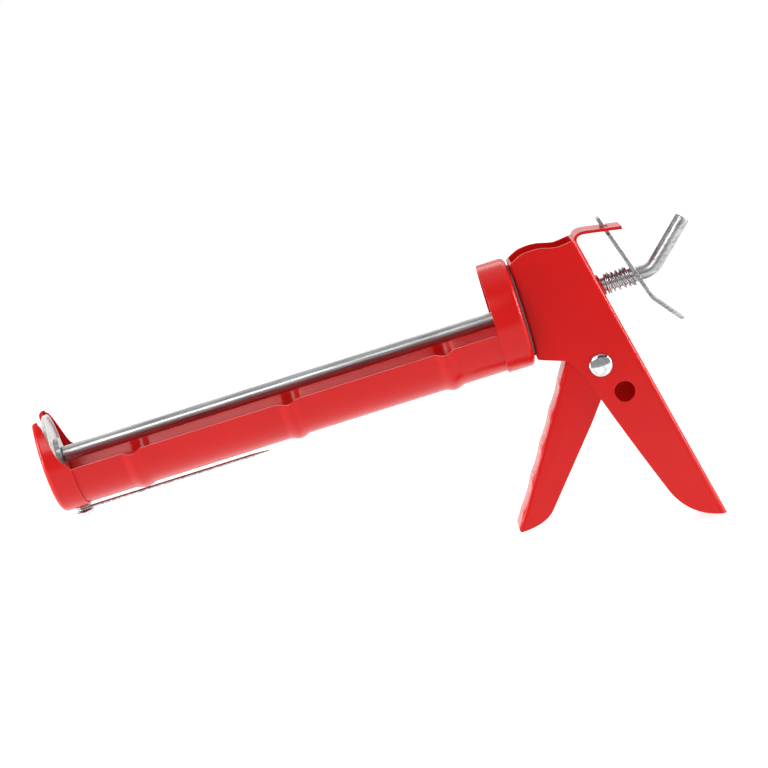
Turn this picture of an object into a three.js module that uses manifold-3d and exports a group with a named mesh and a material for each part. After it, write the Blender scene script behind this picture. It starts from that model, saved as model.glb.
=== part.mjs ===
// Skeleton caulking gun for one standard cartridge, in millimetres, +Z up.
// While it is modelled, X runs along the push rod towards the hook, Y points away from the side
// with the spout cutter, and the rod's axis crosses the collar's rear face at the zero point.
// The finished group is moved so that its origin is the bottom centre of its own box.
import * as THREE from 'three';
import { mergeVertices } from 'three/addons/utils/BufferGeometryUtils.js';
import Module from 'manifold-3d';

const wasm = await Module();
wasm.setup();

// ---- Driving dimensions ----------------------------------------------------------------------

const seat = 0.12; // gap between pieces that are welded or riveted together
const slip = 0.3; // gap between pieces that move on each other
const roundSides = 48; // facets of the large round pieces
const smallSides = 20; // facets of pins, washers and rods

// Cradle: collar, half-round trough and front cap
const cradleLength = 235.6; // collar's rear face to the cap's front face
const cradleBore = 24.5; // inner radius of the trough
const troughSheet = 1;
const cupSheet = 1;
const collarDepth = 13.8;
const cupCorner = 2.6; // outer radius where a cup's plate turns into its rim
const wallTop = -4.2; // height of the trough's long edges
const ribFromCollar = 40; // the last rib's middle; the second stands midway
const ribFromCap = 41.6;
const ribWidth = 11;
const ribHeight = 1.3;
const ribDip = 1.6; // how far the trough's edge drops at a rib
const capRim = 12.8; // depth of the cap's rim below the axis
const earDrop = 6.22; // from the cap's crown, if it were whole, down to its two ears
const earTopDepth = 4.4;
const nozzleSlot = 9.5; // half the width of the slot's round bottom

// Push rod and plunger
const rodRadius = 3.6;
const rodFront = 7.9; // from the cap's front face to the rod's shoulder
const spigotRadius = 2.5;
const hookBend = 10; // radius of the rod's centreline at the hook
const hookAngle = THREE.MathUtils.degToRad(43);
const hookCorner = 65.6; // where the two centrelines would cross
const hookLength = 28.6; // from that crossing to the cut end
const plungerPlay = 4; // from the plunger's rim to the trough, for the cartridge's wall
const plungerSheet = 1.2;
const plungerRim = 2.4;
const backingRadius = 8.2;
const backingThick = 2.2;
const nutAcross = 10;
const nutThick = 2.2;

// Handle frame, a folded channel with its closed side at the back
const frameWidth = 24;
const frameSheet = 1.5;
const frameFront = 1; // gap from the collar to the frame's front wall
const frontFold = 0.3; // inner radius of the folds beside the front wall
const spineFold = 1.1; // inner radius of the folds beside the spine
const frameTop = 27.3; // height of the hump at the top
const spineTilt = Math.atan(0.2161);
const spineAtAxis = 39.75; // where the spine's outer face crosses the rod's axis
const handleDrop = 121.5; // from the rod's axis down to the foot
const frontWallDrop = 23.4;
const footWidth = 24.5;
const tabInset = 2.5; // the tab is narrower than the frame on each side
const tabReach = 57;
const tabRise = 1.5; // from the hump up to where the spine and the tab would cross
const tabBend = 5; // middle radius of the fold between them
const tabDroop = THREE.MathUtils.degToRad(10);
const spineBoss = { radius: 5.4, rise: 1.2 }; // raised ring round the rod's hole
const cutterHole = { x: 35.9, z: -50.1, radius: 5 };

// Trigger and its rivet
const pivot = { x: 28.6, z: -34.6 };
const pivotRadius = 3.4;
const pivotHead = { radius: 5.5, rise: 2 };
const bossRadius = 7.6;
const triggerSheet = 1.5;
const triggerGap = 0.6; // between the trigger's sides and the frame's
const triggerTilt = Math.atan(0.628); // lean of the finger web
const triggerTop = { x: 12.9, z: -29.2 };
const triggerLength = 84.5; // along the finger web
const triggerFold = 0.9; // inner radius of the folds beside the web
const scallops = 4;
const scallopPitch = 16.5;
const scallopDepth = 0.75;
const scallopStart = 9;
const camArm = 17.5;
const camRadius = 3;
const camLean = THREE.MathUtils.degToRad(10); // how far the cam starts behind the vertical

// Drive plate and spring
const driveThick = 2.5;
const drivePlay = 1.5; // from the plate's sides to the frame's
const driveTop = 11;
const driveBelowCam = 3.9; // from the cams' middle to the plate's lower edge
const driveCoil = { room: 2, wire: 0.6, turns: 6 }; // room from the rod to the wire's middle

// Release plate and spring
const releaseSheet = 1.8;
const releaseWidth = 17;
const releaseTilt = THREE.MathUtils.degToRad(17.7);
const lipTilt = THREE.MathUtils.degToRad(38);
const releaseAtAxis = 57.7; // plate's mid-plane on the rod's axis
const lipStart = 12.6; // below the rod's axis, along the plate
const lipLength = 18.4;
const tongueWidth = 7;
const tongueRise = 5.9; // above the tab, along the plate
const releaseCoil = { room: 1.2, wire: 0.5, turns: 7 };

// Swivel between the collar and the frame
const bushWall = 2.6;
const bushPlay = 1; // from the bush's flange to the frame's sides
const bushFlangeThick = 1.2;
const washerRing = 16; // how far the washer reaches past the bush

// Seal needle under the cap
const needleSetBack = 8.9; // rivet's place behind the cap's front face
const needleWire = 0.8;
const needleEye = 3.4;
const needleReach = 93.5; // from the rivet to the point
const needleShank = 1.6;
const needleHead = 4.6;
const needleHeadThick = 1.9;
const needleUpset = 2.8;

// ---- Values that follow from them --------------------------------------------------------------

const troughOuter = cradleBore + troughSheet;
const cupInner = troughOuter + seat;
const cupOuter = cupInner + cupSheet;
const earTop = cupOuter - earDrop;
const plungerRadius = cradleBore - plungerPlay;
const firstRib = ribFromCap - cradleLength;
const ribPlaces = [firstRib, (firstRib - ribFromCollar) / 2, -ribFromCollar];
const capFront = -cradleLength;
const capInside = capFront + cupSheet;
const rodBore = rodRadius + slip;
const bushRadius = rodBore + bushWall;
const washerRadius = bushRadius + washerRing;
const insideWidth = frameWidth - 2 * frameSheet;
const bushFlange = insideWidth / 2 - bushPlay;
const driveWidth = insideWidth - 2 * drivePlay;
const tabWidth = frameWidth - 2 * tabInset;
const frameInside = frameFront + frameSheet;
const spineAt = (z) => spineAtAxis - Math.tan(spineTilt) * z;
const spineInsideAt = (z) => spineAt(z) - frameSheet / Math.cos(spineTilt);
const triggerWidth = insideWidth - 2 * triggerGap;
const camNose = {
  x: pivot.x + camArm * Math.sin(camLean),
  z: pivot.z + camArm * Math.cos(camLean),
};
const camFace = camNose.x - camRadius;
const driveDrop = driveBelowCam - camNose.z;
const driveBack = camFace - slip;
const driveFront = driveBack - driveThick;
const bushBack = frameInside + seat + bushFlangeThick;
const tabMid = frameTop + tabRise;
const releaseAt = (z) => releaseAtAxis - Math.tan(releaseTilt) * z;

// ---- Solids --------------------------------------------------------------------------------------

const material = (name, color, roughness, metalness) =>
  new THREE.MeshStandardMaterial({ name, color, roughness, metalness });

const redPaint = () => material('red_paint', 0xd62323, 0.28, 0.1);
const zinc = () => material('zinc_plate', 0xb9bcbc, 0.32, 1);
const chrome = () => material('chrome', 0xd8dadc, 0.12, 1);
const springSteel = () => material('spring_steel', 0x9a9c9e, 0.3, 1);
const fibre = () => material('black_fibre', 0x1e1e1e, 0.8, 0);

// A closed three.js geometry as a solid that can be joined and cut.
function solid(geometry) {
  const bare = geometry.index ? geometry.toNonIndexed() : geometry.clone();
  bare.deleteAttribute('normal');
  bare.deleteAttribute('uv');
  const merged = mergeVertices(bare, 1e-4);
  return new wasm.Manifold(new wasm.Mesh({
    numProp: 3,
    vertProperties: merged.attributes.position.array,
    triVerts: new Uint32Array(merged.index.array),
  }));
}

function geometryOf(shape) {
  const mesh = shape.getMesh();
  const geometry = new THREE.BufferGeometry();
  geometry.setAttribute('position', new THREE.BufferAttribute(mesh.vertProperties, 3));
  geometry.setIndex(new THREE.BufferAttribute(mesh.triVerts, 1));
  geometry.computeVertexNormals();
  return geometry;
}

function add(group, name, shape, finish) {
  const mesh = new THREE.Mesh(geometryOf(shape), finish);
  mesh.name = name;
  group.add(mesh);
}

// An outline in X and Z, pulled along Y from one side to the other.
function acrossY(outline, fromY, toY) {
  const geometry = new THREE.ExtrudeGeometry(outline, {
    depth: toY - fromY, bevelEnabled: false, curveSegments: 12,
  });
  geometry.rotateX(Math.PI / 2);
  geometry.translate(0, toY, 0);
  return solid(geometry);
}

// An outline in Y and Z, pulled along X.
function alongX(outline, fromX, toX) {
  const geometry = new THREE.ExtrudeGeometry(outline, {
    depth: toX - fromX, bevelEnabled: false, curveSegments: 12,
  });
  const turn = new THREE.Matrix4().makeBasis(
    new THREE.Vector3(0, 1, 0), new THREE.Vector3(0, 0, 1), new THREE.Vector3(1, 0, 0));
  geometry.applyMatrix4(turn);
  geometry.translate(fromX, 0, 0);
  return solid(geometry);
}

// A closed profile of [x, radius] points, turned about the X axis.
function turnedAboutX(profile, sides) {
  const closed = [...profile, profile[0]];
  const area = closed.slice(1).reduce(
    (sum, [x, r], i) => sum + closed[i][0] * r - x * closed[i][1], 0);
  const points = (area < 0 ? closed.reverse() : closed).map(([x, r]) => new THREE.Vector2(r, x));
  const geometry = new THREE.LatheGeometry(points, sides);
  geometry.rotateZ(-Math.PI / 2);
  return upright(geometry);
}

// Turns every face round when a mirrored or turned shape has come out inside out.
function upright(geometry) {
  const made = solid(geometry);
  if (made.volume() > 0) return made;
  const index = geometry.index;
  for (let i = 0; i < index.count; i += 3) {
    const first = index.getX(i);
    index.setX(i, index.getX(i + 1));
    index.setX(i + 1, first);
  }
  return solid(geometry);
}

// A ring or disc with its axis along X.
const discX = (fromX, toX, inner, outer, sides) =>
  turnedAboutX([[fromX, inner], [fromX, outer], [toX, outer], [toX, inner]], sides);

const cylinder = (radius, length, sides) => new THREE.CylinderGeometry(radius, radius, length, sides);

const pinY = (x, z, radius, fromY, toY, sides = smallSides) =>
  solid(cylinder(radius, toY - fromY, sides).translate(x, (fromY + toY) / 2, z));

const pinZ = (x, y, radius, fromZ, toZ, sides = smallSides) =>
  solid(cylinder(radius, toZ - fromZ, sides).rotateX(Math.PI / 2).translate(x, y, (fromZ + toZ) / 2));

const pinX = (radius, fromX, toX, sides = smallSides) =>
  solid(cylinder(radius, toX - fromX, sides).rotateZ(Math.PI / 2).translate((fromX + toX) / 2, 0, 0));

const box = (fromX, toX, width, fromZ, toZ) => solid(
  new THREE.BoxGeometry(toX - fromX, width, toZ - fromZ)
    .translate((fromX + toX) / 2, 0, (fromZ + toZ) / 2));

// A round bar along a list of { point, radius } stations; a step in radius repeats its point.
function roundBar(stations, sides) {
  const points = stations.map((s) => s.point);
  const tangents = points.map((p, i) => {
    const ahead = points.slice(i + 1).find((q) => q.distanceTo(p) > 1e-6) || p;
    const behind = points.slice(0, i).reverse().find((q) => q.distanceTo(p) > 1e-6) || p;
    const before = p.clone().sub(behind).normalize();
    const after = ahead.clone().sub(p).normalize();
    return before.add(after).normalize();
  });
  const positions = [];
  let normal = new THREE.Vector3(0, 0, 1);
  if (Math.abs(tangents[0].z) > 0.9) normal = new THREE.Vector3(0, 1, 0);
  stations.forEach(({ point, radius }, i) => {
    normal = normal.clone().addScaledVector(tangents[i], -normal.dot(tangents[i])).normalize();
    const binormal = tangents[i].clone().cross(normal);
    for (let k = 0; k < sides; k += 1) {
      const angle = (2 * Math.PI * k) / sides;
      const spot = point.clone()
        .addScaledVector(normal, radius * Math.cos(angle))
        .addScaledVector(binormal, radius * Math.sin(angle));
      positions.push(spot.x, spot.y, spot.z);
    }
  });
  const faces = [];
  for (let i = 0; i + 1 < stations.length; i += 1) {
    for (let k = 0; k < sides; k += 1) {
      const next = (k + 1) % sides;
      const [a, b] = [i * sides + k, i * sides + next];
      faces.push(a, b, b + sides, a, b + sides, a + sides);
    }
  }
  const last = (stations.length - 1) * sides;
  for (let k = 1; k + 1 < sides; k += 1) {
    faces.push(0, k + 1, k);
    faces.push(last, last + k, last + k + 1);
  }
  const geometry = new THREE.BufferGeometry();
  geometry.setAttribute('position', new THREE.Float32BufferAttribute(positions, 3));
  geometry.setIndex(faces);
  return upright(geometry);
}

// A coil spring about the X axis.
function coil({ room, wire, turns }, fromX, toX, lean = 0) {
  const radius = rodRadius + room;
  const steps = 10;
  const stations = [];
  for (let i = 0; i <= turns * steps; i += 1) {
    const share = i / (turns * steps);
    const angle = (2 * Math.PI * i) / steps;
    const z = radius * Math.cos(angle);
    // The far end may lean with the plate that it presses on.
    const x = THREE.MathUtils.lerp(fromX + wire, toX - wire, share) - z * lean * share;
    stations.push({ point: new THREE.Vector3(x, radius * Math.sin(angle), z), radius: wire });
  }
  return roundBar(stations, 6);
}

// A strip of sheet that follows a polyline in X and Z, with the line along its middle.
function strip(line, thick, width) {
  const left = [];
  const right = [];
  line.forEach((p, i) => {
    const before = i ? p.clone().sub(line[i - 1]).normalize() : null;
    const after = i + 1 < line.length ? line[i + 1].clone().sub(p).normalize() : null;
    const along = (before && after ? before.clone().add(after) : before || after).clone().normalize();
    const stretch = before && after ? 1 / Math.cos(before.angleTo(after) / 2) : 1;
    const side = new THREE.Vector2(-along.y, along.x).multiplyScalar((thick / 2) * stretch);
    left.push(p.clone().add(side));
    right.push(p.clone().sub(side));
  });
  return acrossY(new THREE.Shape([...left, ...right.reverse()]), -width / 2, width / 2);
}

// Points on a bend between two straight lines that meet at a corner.
function bend(before, corner, after, radius, steps) {
  const back = before.clone().sub(corner).normalize();
  const ahead = after.clone().sub(corner).normalize();
  const half = back.angleTo(ahead) / 2;
  const reach = radius / Math.tan(half);
  const start = corner.clone().addScaledVector(back, reach);
  const end = corner.clone().addScaledVector(ahead, reach);
  const points = [];
  for (let i = 0; i <= steps; i += 1) {
    const t = i / steps;
    const mix = start.clone().multiplyScalar((1 - t) ** 2)
      .addScaledVector(corner, 2 * t * (1 - t)).addScaledVector(end, t ** 2);
    points.push(mix);
  }
  return points;
}

// A bar with rounded corners on one side only, standing along +Z, used to fold sheet round.
function foldedBlock(fromX, toX, width, radius, roundLow, height) {
  const half = width / 2;
  const shape = new THREE.Shape();
  if (roundLow) {
    shape.moveTo(toX, -half).lineTo(toX, half).lineTo(fromX + radius, half);
    shape.absarc(fromX + radius, half - radius, radius, Math.PI / 2, Math.PI);
    shape.absarc(fromX + radius, radius - half, radius, Math.PI, Math.PI * 1.5);
  } else {
    shape.moveTo(fromX, half).lineTo(fromX, -half).lineTo(toX - radius, -half);
    shape.absarc(toX - radius, radius - half, radius, -Math.PI / 2, 0);
    shape.absarc(toX - radius, half - radius, radius, 0, Math.PI / 2);
  }
  return new THREE.ExtrudeGeometry(shape, {
    depth: height, bevelEnabled: false, curveSegments: 5,
  }).translate(0, 0, -height / 2);
}

// ---- Cradle ----------------------------------------------------------------------------------------

// Height of a rib above the plain sheet at one place along the trough.
function ribRise(x) {
  const near = ribPlaces.find((place) => Math.abs(x - place) < ribWidth / 2);
  return near === undefined ? 0 : (1 + Math.cos((2 * Math.PI * (x - near)) / ribWidth)) / 2;
}

function troughStations(fromX, toX) {
  const steps = 6;
  const stations = [fromX];
  ribPlaces.forEach((place) => {
    for (let i = 0; i <= steps; i += 1) stations.push(place + ribWidth * (i / steps - 0.5));
  });
  return [...stations, toX];
}

function barrelTrough(group) {
  const stations = troughStations(capFront + cupCorner + seat, -cupCorner - seat);
  const outer = stations.map((x) => [x, troughOuter + ribHeight * ribRise(x)]);
  const inner = stations.map((x) => [x, cradleBore + ribHeight * ribRise(x)]).reverse();
  const tube = turnedAboutX([...outer, ...inner], roundSides);
  const above = new THREE.Shape(stations.map(
    (x) => new THREE.Vector2(x, wallTop - ribDip * ribRise(x))));
  above.lineTo(1, cupOuter + 5);
  above.lineTo(-cradleLength - 1, cupOuter + 5);
  above.lineTo(-cradleLength - 1, wallTop);
  let trough = tube.subtract(acrossY(above, -cupOuter - 5, cupOuter + 5));
  trough = trough.subtract(pinZ(needleX, 0, needleShank + seat, -troughOuter - 2, 0));
  add(group, 'barrel_trough', trough, redPaint());
}

// A drawn cup: a plate at one end and a rim with a round corner, opening along -X or +X.
function cup(plateX, depth, opens) {
  const arc = (radius, corner) => {
    const points = [];
    for (let i = 0; i <= 5; i += 1) {
      const angle = (Math.PI / 2) * (i / 5);
      const x = plateX + opens * (cupCorner - corner * Math.cos(angle));
      points.push([x, radius - cupCorner + corner * Math.sin(angle)]);
    }
    return points;
  };
  const mouth = plateX + opens * depth;
  const outside = arc(cupOuter, cupCorner);
  const inside = arc(cupOuter, cupCorner - cupSheet).reverse();
  return turnedAboutX([
    [plateX, bushRadius + slip], ...outside, [mouth, cupOuter],
    [mouth, cupInner], ...inside, [plateX + opens * cupSheet, bushRadius + slip],
  ], roundSides);
}

function rearCollar(group) {
  add(group, 'rear_collar', cup(0, collarDepth, -1), redPaint());
}

function frontCap(group) {
  const whole = cup(capFront, capRim, 1);
  // The rim narrows as it rises into the two ears.
  const rimAt = (share) => capFront + THREE.MathUtils.lerp(earTopDepth, capRim, share);
  const back = rimAt(1);
  const behind = new THREE.Shape();
  behind.moveTo(back + 1, wallTop - 2);
  behind.lineTo(back, wallTop - 2);
  behind.bezierCurveTo(back, -3, rimAt(0.74), -0.6, rimAt(0.55), 0.8);
  behind.bezierCurveTo(rimAt(0.31), 5, rimAt(0.19), earTop - 8.4, rimAt(0), earTop - 2);
  behind.quadraticCurveTo(capFront + earTopDepth - 0.6, earTop, capFront + earTopDepth - 2.4, earTop);
  behind.lineTo(capFront - 1, earTop);
  behind.lineTo(capFront - 1, cupOuter + 1);
  behind.lineTo(back + 1, cupOuter + 1);
  let cap = whole.subtract(acrossY(behind, -cupOuter - 1, cupOuter + 1));
  // The nozzle's slot is round at the bottom and flares towards the ears.
  const mouth = Math.sqrt(cupOuter ** 2 - earTop ** 2) - 0.4;
  const slot = new THREE.Shape();
  slot.absarc(0, 0, nozzleSlot, Math.PI, Math.PI * 2);
  slot.bezierCurveTo(nozzleSlot + 3, 6, mouth + 1.5, 8, mouth, earTop + 2);
  slot.lineTo(mouth, cupOuter + 2);
  slot.lineTo(-mouth, cupOuter + 2);
  slot.lineTo(-mouth, earTop + 2);
  slot.bezierCurveTo(-mouth - 1.5, 8, -nozzleSlot - 3, 6, -nozzleSlot, 0);
  cap = cap.subtract(alongX(slot, capFront - 1, capFront + cupCorner + 1));
  cap = cap.subtract(pinZ(needleX, 0, needleShank + seat, -cupOuter - 2, 0));
  add(group, 'front_cap', cap, redPaint());
}

// ---- Swivel ------------------------------------------------------------------------------------------

function swivel(group) {
  const front = -cupSheet - slip;
  add(group, 'swivel_bush', turnedAboutX([
    [front - bushFlangeThick, rodBore], [front - bushFlangeThick, bushFlange],
    [front, bushFlange], [front, bushRadius],
    [frameInside + seat, bushRadius], [frameInside + seat, bushFlange],
    [bushBack, bushFlange], [bushBack, rodBore],
  ], smallSides), zinc());
  add(group, 'swivel_washer',
    discX(slip / 2, frameFront - slip / 2, bushRadius + slip, washerRadius, roundSides), fibre());
}

// ---- Handle frame ------------------------------------------------------------------------------------

function frameOutline() {
  const spineTop = frameTop - 1.2;
  const foot = new THREE.Vector2(spineAt(-handleDrop), -handleDrop);
  const shape = new THREE.Shape();
  shape.moveTo(frameFront, -frontWallDrop);
  shape.lineTo(frameFront, frameTop - 3.6);
  shape.splineThru([
    [frameFront + 6, frameTop - 0.7], [frameFront + 11.3, frameTop],
    [frameFront + 16.2, frameTop - 0.3], [frameFront + 20.8, frameTop - 1.5],
    [frameFront + 24, frameTop - 2.1], [frameFront + 27.4, frameTop - 1.9],
    [spineAt(spineTop), spineTop],
  ].map(([x, z]) => new THREE.Vector2(x, z)));
  shape.lineTo(foot.x, foot.y);
  const heel = foot.x - footWidth;
  shape.bezierCurveTo(foot.x - 12, foot.y + 2, heel + 4, foot.y + 9, heel, foot.y + 21);
  shape.quadraticCurveTo(heel - 10, foot.y + 48, pivot.x - 8.8, pivot.z - 3.3);
  shape.quadraticCurveTo(pivot.x - 9.8, pivot.z - 0.3, pivot.x - 11.8, pivot.z + 2.4);
  shape.quadraticCurveTo(pivot.x - 13.6, pivot.z + 6, pivot.x - 15.8, pivot.z + 7);
  shape.closePath();
  return shape;
}

function handleFrame(group) {
  const tall = 400;
  const lean = (geometry) => geometry.rotateY(-spineTilt).translate(spineAtAxis, 0, 0);
  const spineOuter = solid(lean(foldedBlock(-200, 0, frameWidth, spineFold + frameSheet, false, tall)));
  const spineInner = solid(lean(
    foldedBlock(-200, -frameSheet, insideWidth, spineFold, false, tall)));
  const frontOuter = solid(foldedBlock(frameFront, 200, frameWidth, frontFold + frameSheet, true, tall));
  const frontInner = solid(
    foldedBlock(frameInside, 200, insideWidth, frontFold, true, tall));
  const outline = acrossY(frameOutline(), -frameWidth, frameWidth);
  let frame = outline.intersect(spineOuter).intersect(frontOuter)
    .subtract(spineInner.intersect(frontInner));
  frame = frame.add(tab());
  // A ring stands out round the rod's hole at the back, square to the spine.
  const ringLength = spineBoss.rise + frameSheet / 2;
  const ring = cylinder(spineBoss.radius, ringLength, smallSides).rotateZ(Math.PI / 2)
    .translate(spineBoss.rise - ringLength / 2, 0, 0);
  frame = frame.add(solid(lean(ring)));
  // The front wall is two flanges that stop short of each other.
  frame = frame.subtract(box(frameFront - 1, frameInside + 0.5, 1, -frontWallDrop - 1, frameTop + 5));
  frame = frame.subtract(pinX(bushRadius + seat, frameFront - 1, frameInside + 0.5));
  frame = frame.subtract(pinX(rodBore, spineInsideAt(0) - 3, spineAtAxis + 5));
  frame = frame.subtract(pinY(pivot.x, pivot.z, pivotRadius + seat, -frameWidth, frameWidth));
  frame = frame.subtract(
    pinY(cutterHole.x, cutterHole.z, cutterHole.radius, -frameWidth, -insideWidth / 2 + 1));
  add(group, 'handle_frame', frame, redPaint());
}

// The spine's top folds back into a tab, which the release plate hangs in.
function tab() {
  const low = new THREE.Vector2(spineAt(8) - frameSheet / 2, 8);
  const corner = new THREE.Vector2(spineAt(tabMid) - frameSheet / 2, tabMid);
  const end = new THREE.Vector2(tabReach, tabMid - (tabReach - corner.x) * Math.tan(tabDroop));
  const line = [low, ...bend(low, corner, end, tabBend, 8), end];
  let sheet = strip(line, frameSheet, tabWidth);
  sheet = sheet.subtract(box(low.x - 5, low.x + 5, tabWidth + 2, 7, 9));
  const slotHalf = releaseSheet / 2 + slip + 0.5;
  return sheet.subtract(
    box(hinge.x - slotHalf, hinge.x + slotHalf, tongueWidth + 2 * slip, hinge.z - 4, hinge.z + 4));
}

// ---- Trigger -----------------------------------------------------------------------------------------

// A point on the trigger, measured down its finger web and back from it.
function webPoint(down, back) {
  const x = triggerTop.x - Math.sin(triggerTilt) * down + Math.cos(triggerTilt) * back;
  const z = triggerTop.z - Math.cos(triggerTilt) * down - Math.sin(triggerTilt) * back;
  return new THREE.Vector2(x, z);
}

// The finger web's profile, shifted back from its outer face, from the foot to the top.
function webLine(back, fromDown, toDown) {
  const steps = 32;
  const points = [];
  for (let i = 0; i <= steps; i += 1) {
    const down = THREE.MathUtils.lerp(fromDown, toDown, i / steps);
    const place = (down - scallopStart) / scallopPitch;
    const inside = place > 0 && place < scallops;
    const dent = inside ? scallopDepth * Math.abs(Math.sin(Math.PI * place)) ** 0.8 : 0;
    points.push(webPoint(down, dent + back));
  }
  return points;
}

function triggerOutline() {
  const shape = new THREE.Shape(webLine(0, triggerLength - 3, -6));
  shape.lineTo(pivot.x - bossRadius - 1, pivot.z + 7);
  shape.lineTo(camNose.x - camRadius, pivot.z + 8.5);
  shape.lineTo(camNose.x - camRadius, camNose.z);
  shape.absarc(camNose.x, camNose.z, camRadius, Math.PI, 0, true);
  shape.lineTo(pivot.x + bossRadius, pivot.z);
  shape.absarc(pivot.x, pivot.z, bossRadius, 0, -1.2, true);
  // The sides narrow downwards and curve in to a toe at the web's lower end.
  shape.lineTo(...webPoint(25, 19.8).toArray());
  shape.lineTo(...webPoint(triggerLength - 15.5, 13.4).toArray());
  shape.bezierCurveTo(...webPoint(triggerLength - 9.5, 12.7).toArray(),
    ...webPoint(triggerLength - 4.5, 8).toArray(), ...webPoint(triggerLength - 0.5, 1.6).toArray());
  shape.quadraticCurveTo(
    ...webPoint(triggerLength, 0.2).toArray(), ...webPoint(triggerLength - 3, 0).toArray());
  return shape;
}

function trigger(group) {
  const tall = 400;
  const half = triggerWidth / 2;
  const lean = (geometry) => geometry.rotateY(triggerTilt).translate(triggerTop.x, 0, triggerTop.z);
  const outer = solid(lean(foldedBlock(0, 200, triggerWidth, triggerFold + triggerSheet, true, tall)));
  const inner = new THREE.Shape([
    ...webLine(triggerSheet, triggerLength + 20, -6),
    webPoint(-60, triggerSheet), webPoint(-60, 200), webPoint(triggerLength + 20, 200),
  ]);
  const inside = half - triggerSheet;
  let lever = acrossY(triggerOutline(), -half, half).intersect(outer)
    .subtract(acrossY(inner, -inside, inside));
  // Above the web only the two sides carry on, as far as the cams.
  const top = webPoint(-6, 0);
  lever = lever.subtract(box(top.x - 20, top.x + 40, 2 * inside, top.y - 1, top.y + 30));
  lever = lever.subtract(pinY(pivot.x, pivot.z, pivotRadius + slip, -half - 1, half + 1));
  add(group, 'trigger', lever, redPaint());
}

function triggerRivet(group) {
  const half = frameWidth / 2;
  const side = half + seat;
  const { radius, rise } = pivotHead;
  const dome = [0, 0.35, 0.7, 1].map((share) => {
    const angle = share * Math.PI / 2;
    return [side + rise * (0.35 + 0.65 * Math.sin(angle)), radius * Math.cos(angle)];
  });
  const right = [[side, pivotRadius], [side, radius], ...dome.slice(0, -1)];
  const left = right.map(([y, r]) => [-y, r]).reverse();
  const tip = side + rise;
  const profile = [[-tip, 0], ...left, ...right, [tip, 0]];
  const points = profile.map(([y, r]) => new THREE.Vector2(r, y));
  const geometry = new THREE.LatheGeometry(points, smallSides);
  geometry.translate(pivot.x, 0, pivot.z);
  add(group, 'trigger_rivet', upright(geometry), chrome());
  const length = triggerWidth - 2 * triggerSheet - 2 * slip;
  const tube = pinY(pivot.x, pivot.z, pivotRadius + 2, -length / 2, length / 2)
    .subtract(pinY(pivot.x, pivot.z, pivotRadius + seat, -length, length));
  add(group, 'trigger_spacer', tube, zinc());
}

// ---- Rod, plunger, drive and release -------------------------------------------------------------------

const shoulder = capFront + rodFront;
const backingFront = shoulder - seat - backingThick;
const hubFront = backingFront - seat - plungerSheet;
const nutFront = hubFront - seat - nutThick;

function pushRod(group) {
  const at = (x, z = 0) => new THREE.Vector3(x, 0, z);
  const stations = [
    { point: at(nutFront), radius: spigotRadius },
    { point: at(shoulder), radius: spigotRadius },
    { point: at(shoulder), radius: rodRadius },
  ];
  const reach = hookBend * Math.tan(hookAngle / 2);
  const steps = 8;
  for (let i = 0; i <= steps; i += 1) {
    const angle = hookAngle * (i / steps);
    const x = hookCorner - reach + hookBend * Math.sin(angle);
    stations.push({ point: at(x, hookBend * (1 - Math.cos(angle))), radius: rodRadius });
  }
  const end = at(
    hookCorner + hookLength * Math.cos(hookAngle), hookLength * Math.sin(hookAngle));
  stations.push({ point: end, radius: rodRadius });
  add(group, 'push_rod', roundBar(stations, smallSides), zinc());
}

function plunger(group) {
  const hub = backingRadius + 1.5;
  const face = hubFront - 1;
  add(group, 'plunger_disc', turnedAboutX([
    [hubFront, spigotRadius + seat], [hubFront, hub], [face, hub + 2],
    [face, plungerRadius - 1.2], [face + 1.2, plungerRadius],
    [face + plungerRim, plungerRadius], [face + plungerRim, plungerRadius - plungerSheet],
    [face + plungerSheet, plungerRadius - plungerSheet - 0.6],
    [face + plungerSheet, hub + 2.4], [hubFront + plungerSheet, hub + 0.4],
    [hubFront + plungerSheet, spigotRadius + seat],
  ], 32), zinc());
  add(group, 'plunger_washer',
    discX(backingFront, shoulder - seat, spigotRadius + seat, backingRadius, smallSides), zinc());
  const nut = solid(cylinder(nutAcross / Math.sqrt(3), nutThick, 6)
    .rotateZ(Math.PI / 2).translate(nutFront + nutThick / 2, 0, 0));
  const hole = pinX(spigotRadius + seat, nutFront - 1, nutFront + nutThick + 1);
  add(group, 'plunger_nut', nut.subtract(hole), zinc());
}

function drive(group) {
  const half = driveWidth / 2;
  const shape = new THREE.Shape();
  shape.moveTo(-half + 3, -driveDrop).lineTo(half - 3, -driveDrop);
  shape.quadraticCurveTo(half, -driveDrop, half, -driveDrop + 3).lineTo(half, driveTop - 6);
  shape.quadraticCurveTo(half, driveTop, half - 6, driveTop).lineTo(-half + 6, driveTop);
  shape.quadraticCurveTo(-half, driveTop, -half, driveTop - 6).lineTo(-half, -driveDrop + 3);
  shape.quadraticCurveTo(-half, -driveDrop, -half + 3, -driveDrop);
  const plate = alongX(shape, driveFront, driveBack)
    .subtract(pinX(rodBore, driveFront - 1, driveBack + 1));
  add(group, 'drive_plate', plate, zinc());
  add(group, 'drive_spring', coil(driveCoil, bushBack + seat, driveFront - seat), springSteel());
}

// Where the release plate's mid-plane crosses the tab: it rocks about this line.
function hingePoint() {
  const cornerX = spineAt(tabMid) - frameSheet / 2;
  const drop = Math.tan(tabDroop);
  const z = (tabMid - (releaseAtAxis - cornerX) * drop) / (1 - Math.tan(releaseTilt) * drop);
  return { x: releaseAt(z), z };
}

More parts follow.
